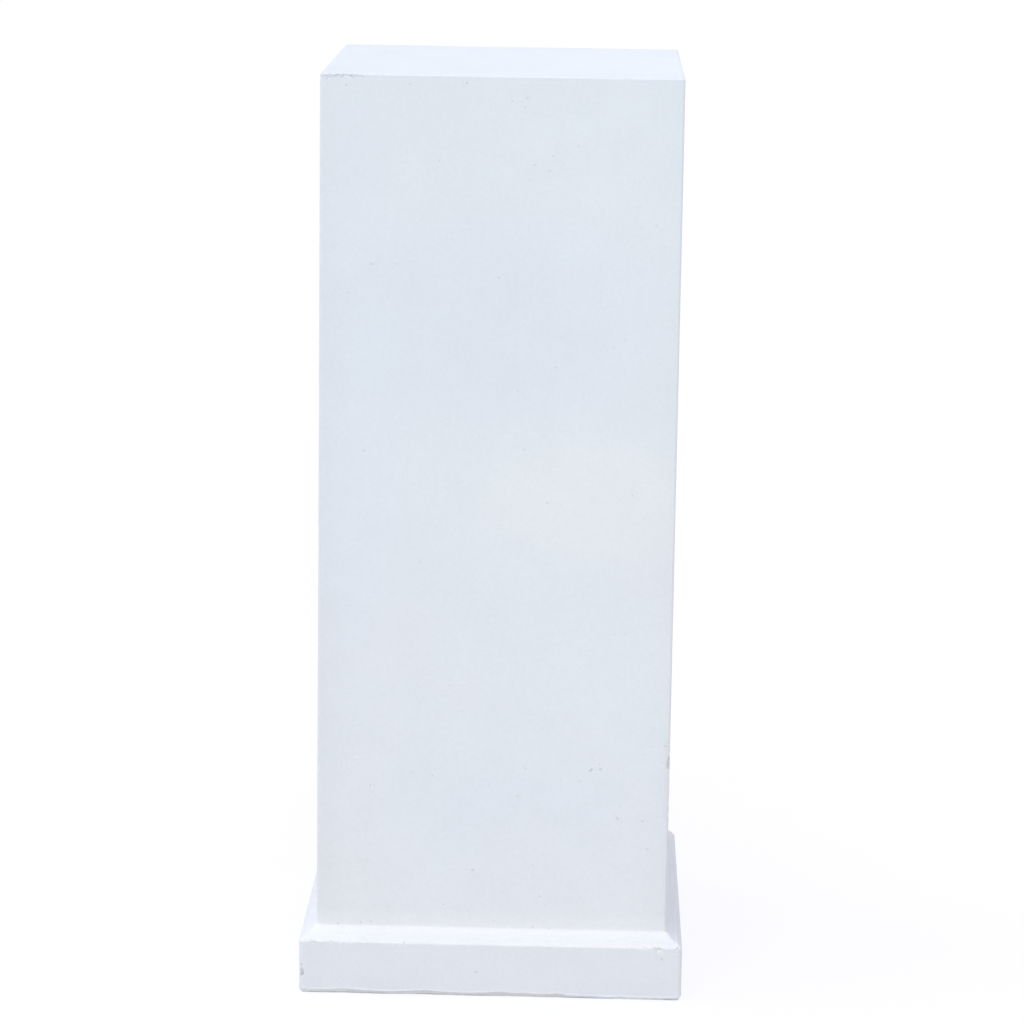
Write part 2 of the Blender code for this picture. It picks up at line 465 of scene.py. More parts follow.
def show(thing):
    """Link an object into the scene."""
    bpy.context.scene.collection.objects.link(thing)
    return thing


def mesh_object(name, mesh):
    """A linked object from a bmesh, which is freed."""
    data = bpy.data.meshes.new(name)
    mesh.to_mesh(data)
    mesh.free()
    return show(bpy.data.objects.new(name, data))


def point_guide(name, places, edges=(), **values):
    """A guide mesh of points, with its stored values, for a tree to read."""
    data = bpy.data.meshes.new(name)
    data.from_pydata(places, edges, [])
    for label, numbers in values.items():
        if isinstance(numbers[0], Vector):
            layer = data.attributes.new(label, "FLOAT_VECTOR", "POINT")
            layer.data.foreach_set("vector", [part for number in numbers for part in number])
        else:
            layer = data.attributes.new(label, "FLOAT", "POINT")
            layer.data.foreach_set("value", numbers)
    return show(bpy.data.objects.new(name, data))


def evaluated_mesh(thing):
    """The object's mesh with its modifiers worked in."""
    thing.update_tag()
    bpy.context.view_layer.update()
    graph = bpy.context.evaluated_depsgraph_get()
    return bpy.data.meshes.new_from_object(thing.evaluated_get(graph), depsgraph=graph)


def grown(thing, tree, settings):
    """Run a tree on an object with named settings and return the result as a plain mesh."""
    modifier = thing.modifiers.new(tree.name, "NODES")
    modifier.node_group = tree
    for socket in tree.interface.items_tree:
        if socket.in_out == "INPUT" and socket.name in settings:
            modifier[socket.identifier] = settings[socket.name]
    result = evaluated_mesh(thing)
    thing.modifiers.remove(modifier)
    return result


def take_mesh(thing, mesh):
    """Give an object a new mesh and delete the old one."""
    old = thing.data
    thing.data = mesh
    mesh.name = thing.name
    bpy.data.meshes.remove(old)


def discard(*things):
    """Delete helper objects and their meshes."""
    for thing in things:
        data = thing.data
        bpy.data.objects.remove(thing)
        bpy.data.meshes.remove(data)


def cut(body, cutter):
    """Cut one object out of another, which keeps the cutter's material, and delete the cutter."""
    modifier = body.modifiers.new("cut", "BOOLEAN")
    modifier.operation = "DIFFERENCE"
    modifier.solver = "MANIFOLD"
    modifier.material_mode = "TRANSFER"
    modifier.object = cutter
    result = evaluated_mesh(body)
    body.modifiers.remove(modifier)
    if len(result.vertices) == 0:
        raise RuntimeError(f"the cut by {cutter.name} left nothing")
    take_mesh(body, result)
    discard(cutter)


# The casting's section and plan

def plinth_section(sizes):
    """Corners from the margin of the underside up to the fine mesh's top."""
    plinth_half = LIP_HALF - sizes.lip_reach
    shaft_half = sizes.shaft_foot_width / 2
    bevel_foot = LIP_HALF - sizes.lip_height * BEVEL_SLOPE
    lip_top = sizes.lip_height + sizes.lip_band
    return (
        Corner(bevel_foot - CAP_MARGIN, 0.0, 0.0, LEDGE_ARRIS, 0.0, 1.0),
        Corner(bevel_foot, 0.0, FOOT_EASE, LEDGE_ARRIS, 0.0, 1.0),
        Corner(LIP_HALF, sizes.lip_height, FOOT_EASE, PLINTH_ARRIS, 1.0, 0.0),
        Corner(plinth_half, lip_top, FOOT_EASE, PLINTH_ARRIS, 1.0, 0.0, sizes.lip_groove),
        Corner(plinth_half, lip_top + GROOVE_FADE, FOOT_EASE, PLINTH_ARRIS, 1.0),
        Corner(plinth_half, sizes.plinth_face_top, PLINTH_EDGE_EASE, PLINTH_ARRIS),
        Corner(shaft_half + sizes.ledge_reach, sizes.ledge_height, LEDGE_EDGE_EASE, LEDGE_ARRIS),
        Corner(shaft_half + sizes.splay_reach, sizes.ledge_height, LEDGE_HOLLOW, LEDGE_ARRIS),
        Corner(shaft_half, sizes.splay_top, SPLAY_HOLLOW, SHAFT_ARRIS),
        Corner(shaft_half_at(sizes, PLINTH_MESH_TOP), PLINTH_MESH_TOP, 0.0, SHAFT_ARRIS),
    )


def shaft_section(sizes):
    """Corners from the foot of the shaft's mesh up to the middle of the top."""
    top_half = sizes.shaft_top_width / 2
    return (
        Corner(shaft_half_at(sizes, SHAFT_MESH_FOOT), SHAFT_MESH_FOOT, 0.0, SHAFT_ARRIS),
        Corner(top_half, sizes.height, TOP_EASE, SHAFT_ARRIS),
        Corner(top_half - CAP_MARGIN, sizes.height, 0.0, CAP_ARRIS),
        Corner(0.0, sizes.height, 0.0, 0.0),
    )


def shaft_half_at(sizes, height):
    """Half the shaft's width at a height: it narrows evenly towards the top."""
    share = (height - sizes.splay_top) / (sizes.height - sizes.splay_top)
    return (sizes.shaft_foot_width + (sizes.shaft_top_width - sizes.shaft_foot_width) * share) / 2


def section_guide(name, corners):
    """The section as a line of points for the loft."""
    places = [(corner.half_width, 0.0, corner.height) for corner in corners]
    edges = [(index, index + 1) for index in range(len(corners) - 1)]
    stored = {part: [getattr(corner, part) for corner in corners] for part in Corner._fields[2:]}
    return point_guide(name, places, edges, **stored)


def coarse_shares(width):
    """Places across one face, as shares of its width: close by the arrises and wide between."""
    near = [place / width for place in GUARD_COLUMNS]
    parts = round((width - 2 * GUARD_COLUMNS[-1]) / COARSE_COLUMN)
    span = 1 - 2 * near[-1]
    middle = [near[-1] + span * part / parts for part in range(parts + 1)]
    return near[:-1] + middle + [1 - share for share in near[-2::-1]]


def fine_shares(width):
    """The coarse places with finer ones between them."""
    ends = [0.0] + coarse_shares(width) + [1.0]
    shares = []
    for low, high in zip(ends, ends[1:]):
        parts = max(1, round((high - low) * width / FINE_COLUMN))
        shares += [low + (high - low) * part / parts for part in range(1, parts + 1)]
    return shares[:-1]


def plan_guide(name, shares, foot):
    """Columns round the plan. Each has its core, as the square's corners count, and its way out.

    A column stands at core times (half width less arris radius) plus way out times arris radius.
    """
    cores, ways = [], []
    for side in range(4):
        turn = Matrix.Rotation(math.radians(90 * side), 3, "Z")
        for step in range(ARRIS_STEPS + 1):
            angle = math.radians(-90 + 90 * step / ARRIS_STEPS)
            cores.append(turn @ Vector((1.0, -1.0, 0.0)))
            ways.append(turn @ Vector((math.cos(angle), math.sin(angle), 0.0)))
        for share in shares:
            cores.append(turn @ Vector((1.0, 2 * share - 1, 0.0)))
            ways.append(turn @ Vector((1.0, 0.0, 0.0)))
    rises, beads = zip(*(foot(core, way) for core, way in zip(cores, ways)))
    return point_guide(name, cores, out=ways, rise=rises, bead=beads)


def scallop(place, cusps):
    """The lip's rise and bead at a place along one side: cusps, with a sagging curve between."""
    if place <= cusps[0][0]:
        return cusps[0][1], 0.0
    before = 0.0
    for (low, low_rise, bead), (high, high_rise, after) in zip(cusps, cusps[1:]):
        if place <= high:
            share = (place - low) / (high - low)
            belly = 4 * share * (1 - share)
            straight = low_rise + (high_rise - low_rise) * share
            rise = straight - SCALLOP_SAG * (high - low) * belly
            at_cusps = BEAD_AT_CUSP * (min(before, bead) * (1 - share) + min(bead, after) * share)
            return max(0.0, rise), at_cusps + (bead - at_cusps) * min(1.0, BEAD_FULLNESS * belly)
        before = bead
    return cusps[-1][1], 0.0


def side_cusps(seed):
    """Cusps for a side that isn't seen, alike in kind."""
    draw = random.Random(seed)
    cusps = []
    place = -LIP_HALF + FIRST_CUSP
    while place < LIP_HALF:
        cusps.append((place, draw.uniform(*CUSP_RISES), draw.uniform(0.0, 1.0)))
        place += draw.uniform(*CUSP_GAPS)
    cusps.append((LIP_HALF, draw.uniform(*CORNER_RISES), 0.0))
    return cusps


def foot_shape(core, way):
    """Rise and bead of the foot's lip at one column of the plan."""
    across = core * (LIP_HALF - PLINTH_ARRIS) + way * PLINTH_ARRIS
    sides = (
        (max(0.0, -way.y), across.x, FRONT_CUSPS),
        (max(0.0, way.x), across.y, side_cusps(2)),
        (max(0.0, way.y), -across.x, side_cusps(3)),
        (max(0.0, -way.x), -across.y, side_cusps(4)),
    )
    weight = sum(share for share, _, _ in sides)
    shapes = [(share / weight, scallop(place, cusps)) for share, place, cusps in sides if share > 0]
    rise = sum(share * shape[0] for share, shape in shapes)
    bead = sum(share * shape[1] for share, shape in shapes)
    return rise, bead


def no_foot(core, way):
    """The shaft has neither scallops nor a bead."""
    return 0.0, 0.0


def loft_tree():
    """Sweeps the section round the plan: eased corners, rows at an even spacing, one skin."""
    tree = new_tree("loft_casting", {
        "Geometry": GEOMETRY, "Section": OBJECT, "Plan": OBJECT, "Ease Steps": 4, "Row Spacing": 0.0025,
        "Bevel Slope": 0.6, "Finish": MATERIAL})
    here, index = tree.field("Position"), tree.field("Index")
    plan = tree.geometry_of(tree["Plan"])
    line = tree.value("GeometryNodeMeshToCurve", {"Mesh": tree.geometry_of(tree["Section"])})
    eased = tree.value("GeometryNodeFilletCurve", {
        "Curve": line, "Limit Radius": True, "Radius": tree.stored("ease"), "Count": tree["Ease Steps"]},
        mode="POLY")
    next_point = tree.value("GeometryNodeFieldAtIndex", {
        "Index": index + 1.0, "Value": here}, data_type="FLOAT_VECTOR", domain="POINT")
    run = tree.value("ShaderNodeVectorMath", {0: next_point, 1: here}, "Value", operation="DISTANCE")
    cuts = (run / tree["Row Spacing"]).floor()
    rows = tree.value("GeometryNodeSubdivideCurve", {"Curve": eased, "Cuts": cuts})
    row_count, column_count = (
        tree.value("GeometryNodeAttributeDomainSize", {"Geometry": part}, "Point Count", component=kind)
        for part, kind in ((rows, "CURVE"), (plan, "MESH")))
    grid = tree.value("GeometryNodeMeshGrid", {
        "Vertices X": column_count + 1.0, "Vertices Y": row_count}, "Mesh")
    column = ((index + 0.5) / row_count).floor()
    row = index - column * row_count
    column = column % column_count
    arris, lift, draw, groove = (
        tree.sampled(rows, tree.stored(name), row) for name in ("arris", "lift", "draw", "groove"))
    rise, bead = (tree.sampled(plan, tree.stored(name), column) for name in ("rise", "bead"))
    reach, _, level = tree.sampled(rows, here, row).split()
    core = tree.sampled(plan, here, column)
    way = tree.sampled(plan, tree.stored("out", "FLOAT_VECTOR"), column)
    half_width = reach - (draw * rise * tree["Bevel Slope"] + groove * bead)
    flat = core * (half_width - arris) + way * arris
    upright = tree.value("ShaderNodeCombineXYZ", {"Z": level + lift * rise})
    lofted = tree.value("GeometryNodeSetPosition", {"Geometry": grid, "Position": flat + upright})
    way_x, way_y, _ = way.split()
    marked = tree.value("GeometryNodeStoreNamedAttribute", {
        "Geometry": lofted, "Name": "on_arris", "Value": abs(way_x * way_y) * 2.0},
        data_type="FLOAT", domain="POINT")
    closed = tree.value("GeometryNodeMergeByDistance", {"Geometry": marked, "Distance": 1e-6})
    return tree.give({"Geometry": tree.value("GeometryNodeSetMaterial", {
        "Geometry": closed, "Material": tree["Finish"]})})


def ring_at(mesh, height):
    """The open edge loop's points at a height, in order round the axis."""
    ring = {vert for edge in mesh.edges if edge.is_boundary for vert in edge.verts
            if abs(vert.co.z - height) < LEVEL_TOLERANCE}
    return sorted(ring, key=lambda vert: math.atan2(vert.co.y, vert.co.x))


def stitch(mesh):
    """Join the plinth's fine top ring to the shaft's coarse foot ring with one row of faces."""
    fine = ring_at(mesh, PLINTH_MESH_TOP)
    coarse = ring_at(mesh, SHAFT_MESH_FOOT)
    partners = [
        min(range(len(fine)), key=lambda k: (fine[k].co.xy - vert.co.xy).length_squared) for vert in coarse]
    for index, vert in enumerate(coarse):
        start, end = partners[index - 1], partners[index]
        if end < start:
            end += len(fine)
        below = [fine[k % len(fine)] for k in range(start, end + 1)]
        mesh.faces.new(below + [vert, coarse[index - 1]])


def weather_tree():
    """Uneven flats and rubbed arrises, always inwards, so the casting never grows."""
    tree = new_tree("weather_casting", {
        "Geometry": GEOMETRY, "Unevenness": 0.0002, "Arris Wear": 0.0004, "Height": 0.785,
        "Plinth Edge": 0.0464, "Edge Waver": 0.0005})
    here, facing = tree.field("Position"), tree.field("Normal")
    height, slant = here.split()[2], facing.split()[2]
    above_foot = height.ramp(0.001, 0.010)
    waves = tree.noise(here, 7.0, 1.0) * 0.7 + tree.noise(here, 19.0, 1.0) * 0.3
    hollow = waves.ramp(0.25, 0.75) * tree["Unevenness"] * above_foot
    from_top = abs(height - (tree["Height"] - 0.0005))
    from_edge = abs(height - tree["Plinth Edge"])
    tilted = abs(abs(slant) - 0.5).ramp(0.1, 0.45, 1.0, 0.0)
    near_edge = from_top.ramp(0.0006, 0.0016, 0.5, 0.0).larger(from_edge.ramp(0.0005, 0.0014, 0.8, 0.0))
    on_edge = (tree.stored("on_arris") ** 2.0).larger(near_edge * tilted)
    patches = tree.noise(here, 14.0, 1.0).ramp(0.35, 0.70, 0.15, 1.0)
    rubbing = tree.noise(here, 60.0, 3.0, 0.6).ramp(0.42, 0.75) * patches
    worn = rubbing * on_edge * tree["Arris Wear"]
    along_edge = from_edge.ramp(0.0004, 0.0034, 1.0, 0.0) * tilted
    waver = tree.noise(here, 42.0, 2.0).ramp(0.36, 0.66) * along_edge
    depth = hollow + (worn + waver * tree["Edge Waver"]) * above_foot
    return tree.give({"Geometry": tree.value("GeometryNodeSetPosition", {
        "Geometry": tree["Geometry"], "Offset": facing * (depth * -1.0)})})


# The knocks, the nicks and the air holes

def lump(name, knock, finish):
    """A cutter for one knock: a stretched ball let in to its depth, uneven like snapped stone."""
    mesh = bmesh.new()
    bmesh.ops.create_icosphere(mesh, subdivisions=LUMP_DETAIL, radius=1.0)
    outwards = Vector(knock.way).normalized()
    along = Vector(knock.along)
    along = (along - along.dot(outwards) * outwards).normalized()
    turn = Matrix((along, outwards.cross(along), outwards)).transposed()
    centre = Vector(knock.place) + outwards * (knock.half_size[2] - knock.depth)
    for vert in mesh.verts:
        spot = Vector(size * part for size, part in zip(knock.half_size, vert.co))
        waves = noise.fractal((spot + centre) * LUMP_WAVES, LUMP_ROUGHNESS, LUMP_WAVE_STEP, LUMP_OCTAVES)
        vert.co = turn @ spot * (1 + waves * knock.lumpiness) + centre
    cutter = mesh_object(name, mesh)
    cutter.data.materials.append(finish)
    return cutter


def knock_list(sizes):
    """The knocks that show, each on the edge it breaks, and a few on the hidden sides."""
    face = LIP_HALF - sizes.lip_reach
    edge = sizes.plinth_face_top
    nick_height = 0.2080
    arris = shaft_half_at(sizes, nick_height) - SHAFT_ARRIS * ROUNDED_OFF
    rim = sizes.shaft_top_width / 2
    up = (0, 0, 1)
    knocks = {
        "front_edge_rub": Knock(
            (0.1312, -face, edge - 0.0004), (0, -0.88, 0.47), (1, 0, 0.05),
            (0.0055, 0.0022, 0.0018), 0.0005, 0.35),
        "front_edge_scratch": Knock(
            (0.1334, -face, edge - 0.0002), (0, -0.75, 0.66), (1, 0, 0.9),
            (0.0018, 0.0008, 0.0010), 0.0005, 0.3),
        "front_edge_scratch_left": Knock(
            (0.1300, -face, edge - 0.0004), (0, -0.75, 0.66), (1, 0, 0.9),
            (0.0016, 0.0007, 0.0010), 0.0004, 0.3),
        "front_edge_streak": Knock(
            (0.1399, -face, edge + 0.0011), (0, -0.72, 0.70), (1, 0, 0.55),
            (0.0022, 0.0009, 0.0014), 0.0011, 0.4),
        "front_edge_chip": Knock(
            (0.1443, -face, edge - 0.0017), (0, -0.70, 0.71), (1, 0, -0.45),
            (0.0036, 0.0026, 0.0020), 0.0016, 0.22),
        "front_corner_chip": Knock(
            (0.1592, -face, edge + 0.0001), (0.15, -0.8, 0.58), (0.68, 0, 0.73),
            (0.0028, 0.0012, 0.0016), 0.0014, 0.3),
        "front_corner_nick": Knock(
            (0.1614, -face + 0.0003, edge - 0.0030), (0.40, -0.65, 0.65), up,
            (0.0012, 0.0012, 0.0010), 0.0006, 0.3),
        "left_edge_softening": Knock(
            (-0.1420, -face, edge), (0, -0.90, 0.44), (1, 0, 0),
            (0.0210, 0.0036, 0.0030), 0.0005, 0.5, "coat"),
        "left_arris_hollow": Knock(
            (-0.1616, -face, 0.0225), (-0.4, -0.9, 0), (-0.04, 0, 1),
            (0.0082, 0.0021, 0.0020), 0.0004, 0.25, "foot"),
        "left_arris_hole": Knock(
            (-0.1614, -face, 0.0188), (-0.35, -0.93, -0.06), up,
            (0.0042, 0.0018, 0.0026), 0.0018, 0.12, "foot"),
        "left_arris_pocket": Knock(
            (-0.1613, -face, 0.0166), (-0.35, -0.93, -0.2), up,
            (0.0020, 0.0017, 0.0028), 0.0023, 0.1, "foot"),
        "shaft_nick": Knock(
            (0.1488, -arris - 0.0006, nick_height + 0.0004), (0.5, -0.87, 0), (0.2, 0, 1),
            (0.0052, 0.0013, 0.0024), 0.0020, 0.3, "foot"),
        "shaft_nick_below": Knock(
            (0.1492, -arris - 0.0004, nick_height - 0.0034), (0.6, -0.8, 0), (0.2, 0, 1),
            (0.0030, 0.0010, 0.0018), 0.0016, 0.25, "foot"),
        "shaft_upper_nick": Knock(
            (rim - 0.0008, -rim + 0.0008, 0.7680), (0.7, -0.7, 0), up,
            (0.0030, 0.0012, 0.0012), 0.0007, 0.5),
        "top_edge_rub": Knock(
            (-0.1290, -rim, sizes.height - 0.0024), (0, -0.96, 0.28), (1, 0, -0.01),
            (0.0215, 0.0030, 0.0020), 0.0006, 0.35, "coat"),
        "top_corner_rub": Knock(
            (-0.1420, -rim, sizes.height - 0.0030), (0, -0.97, 0.24), (1, 0, -0.1),
            (0.0050, 0.0018, 0.0014), 0.0007, 0.4, "coat"),
        "foot_corner_left": Knock(
            (-face, -face, 0.0), (-1, -1, 0), up, (0.0034, 0.0032, 0.0030), 0.0004, 0.2, "coat"),
        "back_edge_chip": Knock(
            (-0.0720, face, edge + 0.0004), (0, 0.8, 0.5), (1, 0, 0),
            (0.0060, 0.0020, 0.0016), 0.0012, 0.5),
        "left_edge_rub": Knock(
            (-face, 0.0850, edge), (-0.9, 0, 0.45), (0, 1, 0), (0.0080, 0.0026, 0.0022), 0.0006, 0.5),
        "side_foot_spall": Knock(
            (face, 0.0640, 0.0), (0.88, 0, -0.47), (0, 1, 0),
            (0.0260, 0.0038, 0.0024), 0.0014, 0.3, "foot"),
    }
    for height, depth in SHAFT_RUBS:
        knocks[f"shaft_rub_{round(height / MILLIMETRE)}"] = Knock(
            (arris, -arris, height), (0.64, -0.77, 0), up, (0.0130, 0.0034, 0.0030), depth, 0.12)
    return knocks


def edge_lines(sizes):
    """The hidden edges, which get nibbled at random, as a guide of separate lines."""
    face = LIP_HALF - sizes.lip_reach
    plinth = face - PLINTH_ARRIS * ROUNDED_OFF
    foot = sizes.shaft_foot_width / 2 - SHAFT_ARRIS * ROUNDED_OFF
    top = sizes.shaft_top_width / 2 - SHAFT_ARRIS * ROUNDED_OFF
    rim = sizes.shaft_top_width / 2 - TOP_EASE * ROUNDED_OFF
    rim_height = sizes.height - TOP_EASE * ROUNDED_OFF
    shaft_end = sizes.height - NIBBLE_TOP_GAP
    lines = []
    for across in (1, -1):
        lines.append([(plinth * across, plinth, height) for height in PLINTH_NIBBLES])
        lines.append(((foot * across, foot, SHAFT_NIBBLE_FOOT), (top * across, top, shaft_end)))
    for reach, height in ((rim, rim_height), (face, sizes.plinth_face_top)):
        half = reach - NIBBLE_CORNER_GAP
        for side in (1, 2, 3):
            turn = Matrix.Rotation(math.radians(90 * side), 3, "Z")
            lines.append(tuple(turn @ Vector((end, -reach, height)) for end in (-half, half)))
    places = [end for line in lines for end in line]
    return point_guide("edge_lines", places, [(2 * k, 2 * k + 1) for k in range(len(lines))])


def scattered_lumps(tree, points, aim, flatness, finish):
    """Turn points into cutters: a small lump each, spun, sized and dented at random."""
    smallest, seed = tree["Smallest"], tree["Seed"]
    share = tree.value("FunctionNodeRandomValue", {"Seed": seed}, 1, data_type="FLOAT")
    drawn_size = smallest + share ** 2.5 * (tree["Largest"] - smallest)
    set_size = tree.stored("size")
    size = drawn_size * (set_size < 1e-9) + set_size
    stretch, spin = (
        tree.value("FunctionNodeRandomValue", {"Min": low, "Max": high, "Seed": seed + another},
                   data_type="FLOAT_VECTOR")
        for low, high, another in (
            ((0.75, 0.75, 0.85), (1.35, 1.10, 1.15), 11),
            ((0.0, 0.0, 0.0), (0.0, 0.0, math.tau), 23)))
    flattened = stretch * tree.value("ShaderNodeCombineXYZ", {"X": 1.0, "Y": 1.0, "Z": flatness})
    upright = tree.value("FunctionNodeAlignRotationToVector", {"Vector": aim}, axis="Z")
    spun = tree.value("FunctionNodeRotateRotation", {
        "Rotation": upright, "Rotate By": tree.value("FunctionNodeEulerToRotation", {0: spin})},
        rotation_space="LOCAL")
    ball = tree.value("GeometryNodeMeshIcoSphere", {"Radius": 1.0, "Subdivisions": 2}, "Mesh")
    copies = tree.value("GeometryNodeInstanceOnPoints", {
        "Points": points, "Instance": ball, "Rotation": spun, "Scale": flattened * size})
    solid = tree.value("GeometryNodeRealizeInstances", {"Geometry": copies})
    dents = tree.noise(tree.field("Position"), DENT_WAVES, 1.0, output="Color") - (0.5, 0.5, 0.5)
    dented = tree.value("GeometryNodeSetPosition", {"Geometry": solid, "Offset": dents * DENT_DEPTH})
    return tree.give({"Geometry": tree.value("GeometryNodeSetMaterial", {
        "Geometry": dented, "Material": finish})})


def air_hole_tree():
    """Cutters for the air holes: some placed, the rest scattered and thicker low on the shaft."""
    tree = new_tree("air_holes", {
        "Geometry": GEOMETRY, "Placed Holes": OBJECT, "Density": 900.0, "Smallest": 0.0003,
        "Largest": 0.001, "Flatness": 0.45, "Hidden Share": 0.35, "Seed": 7, "Lining": MATERIAL})
    skin, here, facing = tree["Geometry"], tree.field("Position"), tree.field("Normal")
    height = here.split()[2]
    _, backwards, up = facing.split()
    thickness = height.ramp(0.20, 0.42, 1.0, 0.45) * height.ramp(0.045, 0.060, 0.25, 1.0)
    thickness = thickness * tree.noise(here, 16.0, 1.0).ramp(0.38, 0.62, 0.15, 1.0)
    thickness = thickness * up.larger(backwards * -1.0).ramp(0.3, 0.5, tree["Hidden Share"], 1.0)
    scatter = tree.value("GeometryNodeDistributePointsOnFaces", {
        "Mesh": skin, "Selection": up > -0.3, "Density Max": tree["Density"],
        "Distance Min": HOLE_GAP, "Density Factor": thickness, "Seed": tree["Seed"]},
        "Points", distribute_method="POISSON")
    placed = tree.geometry_of(tree["Placed Holes"])
    nearest = tree.value("GeometryNodeProximity", {0: placed}, "Distance", target_element="POINTS")
    thinned = tree.value("GeometryNodeDeleteGeometry", {
        "Geometry": scatter, "Selection": nearest < PLACED_GAP}, domain="POINT")
    own = tree.value("GeometryNodeMeshToPoints", {"Mesh": placed})
    on_skin = tree.value("GeometryNodeProximity", {0: skin}, "Position", target_element="FACES")
    own = tree.value("GeometryNodeSetPosition", {"Geometry": own, "Position": on_skin})
    points = tree.value("GeometryNodeJoinGeometry", {0: [own, thinned]})
    aim = tree.value("GeometryNodeSampleNearestSurface", {
        "Mesh": skin, "Value": facing, "Sample Position": here}, "Value", data_type="FLOAT_VECTOR")
    return scattered_lumps(tree, points, aim, tree["Flatness"], tree["Lining"])


def nibble_tree():
    """Cutters for the small nicks strung along the edges."""
    tree = new_tree("nibbled_edges", {
        "Geometry": GEOMETRY, "Spacing": 0.05, "Smallest": 0.0004, "Largest": 0.0016, "Seed": 7,
        "Broken Stone": MATERIAL})
    lines = tree.value("GeometryNodeMeshToCurve", {"Mesh": tree["Geometry"]})
    steps = tree.value(
        "GeometryNodeCurveToPoints", {"Curve": lines, "Length": NIBBLE_STEP}, "Points", mode="LENGTH")
    kept = tree.value("FunctionNodeRandomValue", {
        "Probability": NIBBLE_STEP / tree["Spacing"], "Seed": tree["Seed"]}, 3, data_type="BOOLEAN")
    dropped = tree.value("FunctionNodeBooleanMath", {0: kept}, operation="NOT")
    points = tree.value("GeometryNodeDeleteGeometry", {
        "Geometry": steps, "Selection": dropped}, domain="POINT")
    outwards = tree.field("Position") * (1.0, 1.0, 0.0)
    return scattered_lumps(tree, points, outwards, NIBBLE_FLATNESS, tree["Broken Stone"])


# Finishes

def shader_group(name, inputs):
    """A shader group in the making, and the Object coordinates that it reads."""
    tree = new_tree(name, inputs, "ShaderNodeTree")
    return tree, tree.value("ShaderNodeTexCoord", output="Object")


def cloud_group():
    """Cloudy patches of a hand-laid coat: a slow patch mask and a finer tone mask."""
    tree, place = shader_group("coat_clouds", {"Patch Scale": 6.0, "Tone Scale": 30.0})
    return tree.give({
        "Patches": tree.noise(place, tree["Patch Scale"], 2.0, 0.45).ramp(0.35, 0.65),
        "Tone": tree.noise(place, tree["Tone Scale"], 4.0, 0.6).ramp(0.30, 0.70)})


def brush_group():
    """Upright brush drag: long thin streaks on the sides, as a mask and as a height."""
    tree, place = shader_group("brush_drag", {"Width Scale": 260.0, "Length Scale": 9.0})
    width = tree["Width Scale"]
    stretch = tree.value("ShaderNodeCombineXYZ", {"X": width, "Y": width, "Z": tree["Length Scale"]})
    streaks = tree.noise(place * stretch, 1.0, 3.0, 0.55)
    return tree.give({"Streaks": streaks.ramp(0.30, 0.70), "Height": streaks})


def grain_group():
    """Sandy grain and stipple of stone under paint, as a height and two masks."""
    tree, place = shader_group("stone_grain", {
        "Mottle Scale": 330.0, "Stipple Scale": 380.0, "Sand Scale": 1400.0})
    stipple = tree.noise(place, tree["Stipple Scale"], 3.0, 0.6)
    sand = tree.noise(place, tree["Sand Scale"], 2.0)
    return tree.give({
        "Height": stipple * 0.7 + sand * 0.3,
        "Speckle": sand.ramp(0.35, 0.65),
        "Mottle": tree.noise(place, tree["Mottle Scale"], 3.0, 0.6).ramp(0.30, 0.70)})


def zone_group():
    """Where the casting's zones lie: its plinth, splay and ledge, its rim, arrises and sides, and the masks
    of the painted light and shade on them.
    """
    tree, place = shader_group("casting_zones", {
        "Plinth Edge": 0.0464, "Splay Top": 0.0571, "Shaft Half": 0.1495, "Total Height": 0.785,
        "Ledge": 0.0503, "Arris Zone": 0.040})
    half, total = tree["Shaft Half"], tree["Total Height"]
    x, _, height = place.split()
    off_x, off_y, _ = abs(place).split()
    rise = height / total
    # Painted shade: a mask that darkens the coat towards the arrises, more low down
    arris_shade = ((half - off_x.smaller(off_y)) / tree["Arris Zone"]).ramp(0.0, 1.0, 1.0, 0.0) ** 2.0
    below_rim = total - height
    on_plinth = (height - tree["Plinth Edge"]).ramp(-0.0006, 0.0004, 1.0, 0.0)
    # Painted bounce light: the mouldings' whiter coat fades out 16 mm up the shaft, lifting the shaft's
    # foot
    moulding_and_bounce = (height - tree["Splay Top"]).ramp(-0.0010, 0.0160, 1.0, 0.0)
    # Painted shade: less of the whiter coat in the crease at the ledge, so the crease reads darker
    crease_shade = abs(height - tree["Ledge"]).ramp(0.0006, 0.0038, 0.60, 0.94)
    return tree.give({
        "Plinth": on_plinth,
        "Mouldings": moulding_and_bounce * (1.0 - on_plinth) * crease_shade,
        "Height": height,
        "Rise": rise,
        "Near Arris": arris_shade * rise.ramp(0.1, 1.0, 1.0, 0.45),
        "Across": (x + half) / (half * 2.0),
        # Painted shade: a mask of the mouldings on the two sides
        "Sides": (off_x - half).ramp(0.0005, 0.0030),
        "Under Rim": below_rim.ramp(0.0008, 0.0016) * below_rim.ramp(0.0024, 0.0040, 1.0, 0.0)})


def rub_group():
    """Where the coat is rubbed thin along one upright arris, with a ragged edge."""
    tree, place = shader_group("rubbed_arris", {
        "Middle": VECTOR, "Half Height": 0.036, "Reach": 0.0040, "Raggedness": 0.003})
    off_x, off_y, off_z = abs(place - tree["Middle"]).split()
    rag = (tree.noise(place, 260.0, 3.0) - 0.5) * tree["Raggedness"]
    across = off_x + off_y + rag - tree["Reach"]
    up_down = off_z - tree["Half Height"] + rag
    return tree.give({
        "Mask": across.ramp(0.0, 0.0008, 1.0, 0.0) * up_down.ramp(-0.006, 0.001, 1.0, 0.0)})


def shaded(colour, mask, low, high):
    """A colour dimmed and lifted by a mask, from low to high."""
    return colour * mask.ramp(0.0, 1.0, low, high)


